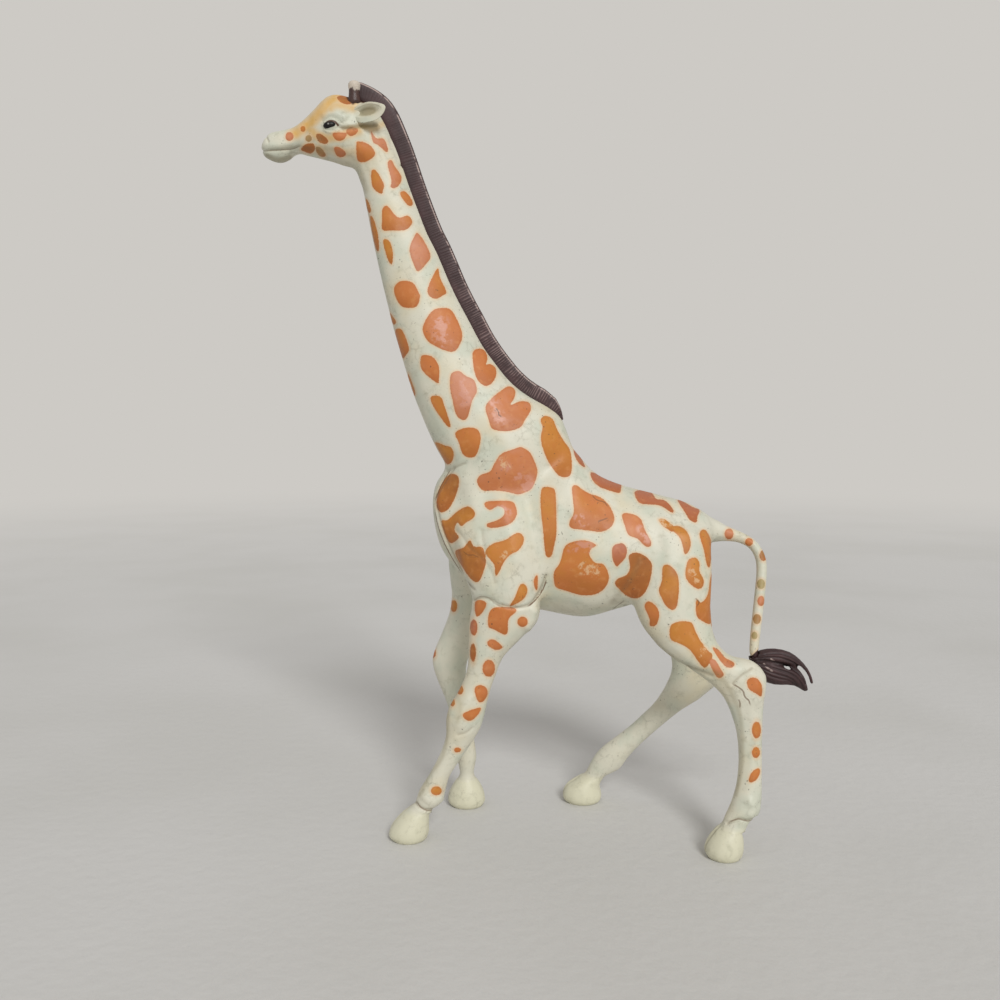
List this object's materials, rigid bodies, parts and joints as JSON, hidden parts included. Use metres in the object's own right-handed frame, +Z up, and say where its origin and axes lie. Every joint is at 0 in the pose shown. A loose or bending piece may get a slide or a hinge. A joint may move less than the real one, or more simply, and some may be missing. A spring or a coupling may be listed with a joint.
{
  "type": "toy giraffe figure",
  "caption": "Solid moulded toy giraffe in a walking pose, with a ribbed mane, horns, leaf-shaped ears and a tufted tail.",
  "frame": {"origin": "on the floor under the middle of the figure: the centre of the bottom of its bounding box", "axes": "+Z up, -X the way the giraffe walks and faces, +X towards its tail, -Y its own left side, which the picture shows"},
  "size_m": [0.1298, 0.0392, 0.178],
  "materials": {
    "ivory": "ivory PVC, satin, with painted orange-brown patches",
    "cream": "cream paint on PVC, satin",
    "brown": "dark brown paint on PVC, satin",
    "black": "black gloss paint"
  },
  "bodies": {
    "root": {"torso": "ivory", "neck": "ivory", "head": "ivory", "left_ear": "ivory", "right_ear": "ivory", "left_ossicone": "brown", "right_ossicone": "brown", "left_eye": "black", "right_eye": "black", "mane": "brown", "tail": "ivory", "tail_tuft": "brown", "left_fore_leg": "ivory", "right_fore_leg": "ivory", "left_hind_leg": "ivory", "right_hind_leg": "ivory", "left_fore_hoof": "cream", "right_fore_hoof": "cream", "left_hind_hoof": "cream", "right_hind_hoof": "cream"}
  },
  "joints": []
}
